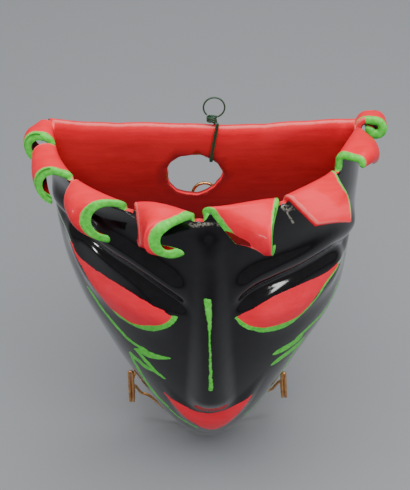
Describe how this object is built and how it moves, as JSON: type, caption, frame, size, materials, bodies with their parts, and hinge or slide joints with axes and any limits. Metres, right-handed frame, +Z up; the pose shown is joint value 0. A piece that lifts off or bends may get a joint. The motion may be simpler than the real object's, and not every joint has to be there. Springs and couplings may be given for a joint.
{
  "type": "ceramic face mask wall pocket on a wire stand",
  "caption": "Glazed ceramic wall pocket in the form of a stylised face mask with a rim of curled tabs, leaning on a bent brass wire stand.",
  "frame": {"origin": "on the ground under the middle of the whole object's bounding box", "axes": "+Z up, the face looks along -Y, +X is on the right of someone looking at the face"},
  "size_m": [0.2332, 0.1648, 0.2594],
  "materials": {
    "glazed_clay": "glossy",
    "green_wire": "satin",
    "brass_wire": "satin"
  },
  "bodies": {
    "root": {"mask": "glazed_clay", "hanging_wire": "green_wire", "stand_ring": "brass_wire", "stand_side_left": "brass_wire", "stand_side_right": "brass_wire", "stand_front_foot": "brass_wire", "stand_rear_prop": "brass_wire"}
  },
  "joints": []
}
